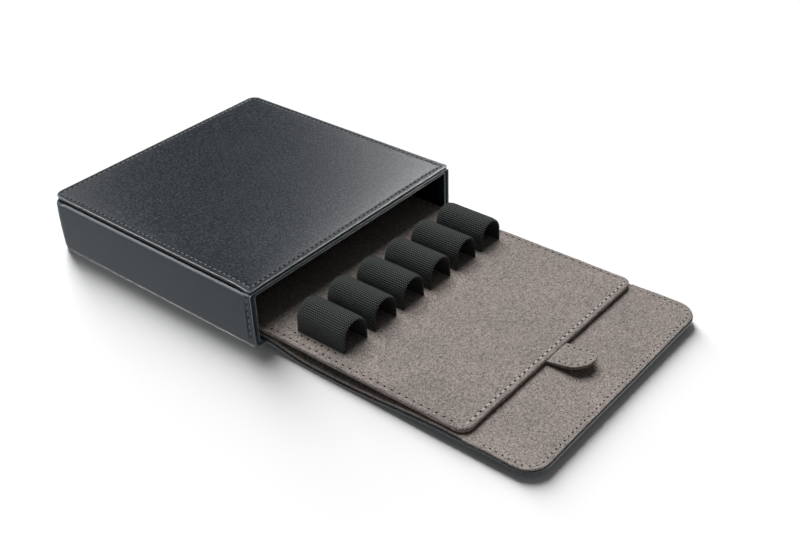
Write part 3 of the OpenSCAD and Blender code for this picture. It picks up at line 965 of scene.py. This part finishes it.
def elastic_loops():
    """Six arches of woven elastic, whose feet go down through the tray's upper suede and are sewn there."""
    for index in range(1, LOOP_COUNT + 1):
        low, high = box(f"elastic_loop_{index}")
        centre_x, radius = (low.x + high.x) / 2, (high.x - low.x) / 2
        spring_z = high.z - radius
        leg = spring_z - low.z - FOOT_LIFT
        girth = 2 * leg + math.pi * radius
        steps = round(girth / RIB_PITCH) * RIB_STEPS
        long = high.y - low.y
        stations = [0.0, 0.25, 0.7, 1.4] + even(2.6, long - 2.6, 1.9)
        stations += [long - back for back in (1.4, 0.7, 0.25, 0.0)]

        def at(travel, lift):
            """Point of the arch's section after some travel from the left foot."""
            if travel < leg:
                return -radius - lift, low.z + FOOT_LIFT + travel
            if travel > girth - leg:
                return radius + lift, low.z + FOOT_LIFT + girth - travel
            turn = math.pi - (travel - leg) / radius
            return (radius + lift) * math.cos(turn), spring_z + (radius + lift) * math.sin(turn)

        rings, marks = [], []
        for station in stations:
            from_end = min(station, long - station)
            tuck = 0.35 * (1 - ramp01(from_end, 0.0, 3.0))
            rounded = 0.3 * (1 - ramp01(from_end, 0.0, 0.7))
            outside = []
            for step in range(steps + 1):
                rib = RIB_HEIGHT * (0.5 + 0.5 * math.cos(2 * math.pi * step / RIB_STEPS))
                outside.append((step, -rib - rounded))
            inside = [(step, -ELASTIC_THICK + rounded) for step in range(steps, -1, -2)]
            ring = []
            for step, lift in outside + inside:
                travel = girth * step / steps
                high_up = ramp01(travel, 0, leg) * ramp01(girth - travel, 0, leg)
                ring.append(at(travel, lift - tuck * high_up))
                marks.append((travel / RIB_PITCH, station / BEAD_PITCH))
            rings.append([(centre_x + x, low.y + station, z) for x, z in ring])
        loop = mesh_piece(f"elastic_{index}", *loft(rings), ELASTIC, "tray", crease=60)
        cloth = loop.data.uv_layers.new(name="cloth")
        for corner in loop.data.loops:
            cloth.data[corner.index].uv = marks[corner.vertex_index]
        stand_for(loop, "elastic", f"elastic_loop_{index}")


def loop_seams():
    """Rows of needle holes on the tray, beside the feet of the loops."""
    boxes = [box(f"elastic_loop_{index}") for index in range(1, LOOP_COUNT + 1)]
    level = box("tray_top_suede")[1].z + 0.2
    rows = [boxes[0][0].x - 1.6]
    rows += [(left[1].x + right[0].x) / 2 for left, right in zip(boxes, boxes[1:])]
    rows.append(boxes[-1][1].x + 1.6)
    front_y, back_y = boxes[0][0].y, boxes[0][1].y
    for index, x in enumerate(rows):
        path = [(x, y, level) for y in even(front_y, back_y, 3.0)]
        sew_suede(f"loop_seam_{index + 1}", path)


def pull_tab():
    """The half-round tab at the front of the tray, of two layers sewn together."""
    bend = Vector(frame["joints"][2]["pos_m"]) / MM
    low, high = box("pull_tab_top")
    reach = bend.y - low.y
    radius = high.x
    lean = math.atan2(high.z - bend.z, reach)
    thick, root = 0.9, 1.2
    straight = reach - radius

    def outline_at(inset):
        """The tab's edge on the level, from its left root round to its right root."""
        side = radius - inset
        points = [(-side, y) for y in even(root, -straight, 1.2)]
        for step in range(1, 20):
            turn = math.pi * step / 20
            points.append((-side * math.cos(turn), -straight - side * math.sin(turn)))
        return points + [(side, y) for y in even(-straight, root, 1.2)]

    def place(x, y, z):
        """A point of the flat tab where it stands, leaning up and curling at its tip."""
        away = max(0.0, -y)
        curl = 0.9 * ramp01(away, 7.0, reach)
        slope = lean * ramp01(away, -root, 2.5)
        return x, bend.y + y, bend.z + z + away * math.tan(slope) * 0.86 + curl

    for name, node, under_z, over_z in (
        ("tab_underside", "pull_tab_back", -2 * thick, -thick - 0.02),
        ("tab_face", "pull_tab_top", -thick + 0.02, 0.0),
    ):
        profile = [(4.6, under_z), (0.5, under_z), (0.14, under_z + 0.14), (0.0, under_z + 0.4)]
        profile += [(0.1, over_z - 0.2), (0.34, over_z - 0.04), (0.7, over_z), (1.4, over_z - 0.04)]
        profile += [(1.8, over_z - 0.13), (2.2, over_z - 0.18), (2.6, over_z - 0.13)]
        profile += [(3.2, over_z - 0.02), (4.6, over_z + 0.04)]
        rings = [[place(x, y, z) for x, y in outline_at(inset)] for inset, z in profile]
        layer = mesh_piece(name, *loft(rings), SUEDE)
        stand_for(layer, "suede", node)
        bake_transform(layer)
    path = [place(x, y, -0.12) for x, y in outline_at(2.2) if y < -1.8]
    sew("tab_stitching", "tab", path, cloth=STONE_THREAD, hole=SUEDE_HOLE, pitch=FLAP_PITCH, width=0.62,
        share=CLOSE_SHARE)


def hidden_nodes():
    """Boards and magnets stay as they are packed, with their own finish."""
    for name, node in frame["nodes"].items():
        finish = BOARD if "board" in name else MAGNET if "magnet" in name else None
        if finish:
            node.data.materials.clear()
            node.data.materials.append(finish)


# Stage

def floor():
    """A floor that is white to the eye and in reflections, and greyer to the light it throws back."""
    half, drop = 3.0, 0.00005
    mesh = bpy.data.meshes.new("floor")
    corners = [(-half, -half, -drop), (half, -half, -drop), (half, half, -drop), (-half, half, -drop)]
    mesh.from_pydata(corners, [], [(0, 1, 2, 3)])
    plane = bpy.data.objects.new("floor", mesh)
    bpy.context.scene.collection.objects.link(plane)
    graph = Graph("floor", Roughness=1.0, Specular_IOR_Level=0.0)
    rays = graph.add("ShaderNodeLightPath").outputs
    seen = graph.math("MAXIMUM", rays["Is Camera Ray"], rays["Is Transmission Ray"])
    level = graph.span(seen, FLOOR_LIT, FLOOR_SHOWN)
    colour = graph.add("ShaderNodeCombineColor", {0: level, 1: level, 2: level}).outputs[0]
    mesh.materials.append(graph.finish(colour))
    white = graph.add("ShaderNodeEmission", {"Color": (1, 1, 1, 1), "Strength": 1.0}).outputs[0]
    paint = graph.add("ShaderNodeMixShader", {0: rays["Is Glossy Ray"], 1: graph.shader.outputs[0], 2: white})
    graph.tree.links.new(paint.outputs[0], graph.tree.nodes["Material Output"].inputs["Surface"])
    return plane


def aim(obj, place, target):
    """Puts a lamp somewhere and turns it to a target, both in metres."""
    obj.location = place
    obj.rotation_mode = "QUATERNION"
    obj.rotation_quaternion = (Vector(target) - Vector(place)).to_track_quat("-Z", "Y")


def softbox(name, place, target, width, height, watts):
    """A flat lamp whose measures are in metres."""
    lamp = bpy.data.lights.new(name, "AREA")
    lamp.shape = "RECTANGLE"
    lamp.size = width
    lamp.size_y = height
    lamp.energy = watts
    obj = bpy.data.objects.new(name, lamp)
    bpy.context.scene.collection.objects.link(obj)
    aim(obj, place, target)
    return obj


def around(azimuth, elevation, distance):
    """A place round the case: azimuth 0 is behind it and 90 at its right, in degrees."""
    turn, rise = math.radians(azimuth), math.radians(elevation)
    flat = distance * math.cos(rise)
    return flat * math.sin(turn), flat * math.cos(turn), distance * math.sin(rise)


def only(lamp, pieces, state="INCLUDE"):
    """The lamp lights these pieces alone, or all but these."""
    lit = bpy.data.collections.new(lamp.name)
    for piece in pieces:
        lit.objects.link(piece)
    for member in lit.collection_objects:
        member.light_linking.link_state = state
    lamp.light_linking.receiver_collection = lit


def lights(plane, edges):
    """A broad key for the case, another for the floor, and boxes whose sheen lies on the leather."""
    azimuth, elevation, angle, strength = CASE_KEY
    sun = bpy.data.lights.new("case_key", "SUN")
    sun.energy = strength
    sun.angle = math.radians(angle)
    case_key = bpy.data.objects.new("case_key", sun)
    bpy.context.scene.collection.objects.link(case_key)
    aim(case_key, around(azimuth, elevation, 1.0), (0, 0, 0))
    only(case_key, [plane], "EXCLUDE")
    azimuth, elevation, distance, wide, tall, watts = FLOOR_KEY
    floor_key = softbox("floor_key", around(azimuth, elevation, distance), (0, 0, 0), wide, tall, watts)
    only(floor_key, [plane])
    for key in (case_key, floor_key):
        key.visible_glossy = False
    for name, azimuth, elevation, size, watts, edges_alone in SHEEN_BOXES:
        sheen = softbox(name, around(azimuth, elevation, SHEEN_DISTANCE), SHEEN_TARGET, size, size, watts)
        sheen.visible_diffuse = False
        if edges_alone:
            only(sheen, edges)


def room():
    """A dim room, which the camera sees as white."""
    world = bpy.context.scene.world or bpy.data.worlds.new("room")
    bpy.context.scene.world = world
    world.use_nodes = True
    tree = world.node_tree
    tree.nodes.clear()
    rays = tree.nodes.new("ShaderNodeLightPath")
    mix = tree.nodes.new("ShaderNodeMixShader")
    tree.links.new(rays.outputs["Is Camera Ray"], mix.inputs[0])
    for socket, strength in ((1, ROOM_STRENGTH), (2, 1.0)):
        background = tree.nodes.new("ShaderNodeBackground")
        background.inputs["Color"].default_value = (1, 1, 1, 1)
        background.inputs["Strength"].default_value = strength
        tree.links.new(background.outputs[0], mix.inputs[socket])
    output = tree.nodes.new("ShaderNodeOutputWorld")
    tree.links.new(mix.outputs[0], output.inputs["Surface"])


def camera():
    """The photograph's view, with its slight roll."""
    azimuth, elevation, roll = (math.radians(x) for x in (CAMERA_AZIMUTH, CAMERA_ELEVATION, CAMERA_ROLL))
    flat = math.cos(elevation)
    back = Vector((math.sin(azimuth) * flat, -math.cos(azimuth) * flat, math.sin(elevation)))
    right = Vector((math.cos(azimuth), math.sin(azimuth), 0))
    up = back.cross(right)
    turned_right = math.cos(roll) * right + math.sin(roll) * up
    turned_up = math.cos(roll) * up - math.sin(roll) * right
    data = bpy.data.cameras.new("camera")
    data.sensor_width = SENSOR_WIDTH
    data.sensor_fit = "HORIZONTAL"
    data.lens = FOCAL_PIXELS / IMAGE_WIDTH * SENSOR_WIDTH
    data.clip_start = 0.01
    obj = bpy.data.objects.new("camera", data)
    bpy.context.scene.collection.objects.link(obj)
    turn = Matrix((turned_right, turned_up, back)).transposed().to_4x4()
    eye = (Vector(CAMERA_TARGET) + back * CAMERA_DISTANCE) * MM
    obj.matrix_world = Matrix.Translation(eye) @ turn
    bpy.context.scene.camera = obj


bpy.context.scene.view_settings.view_transform = "Standard"
camera()
hidden_nodes()
ground = floor()
leather_edges = top_panel() + bottom_panel() + side_band() + mouth_rim()
lights(ground, leather_edges)
room()
linings()
base_sheet()
flap()
tray()
elastic_loops()
loop_seams()
pull_tab()
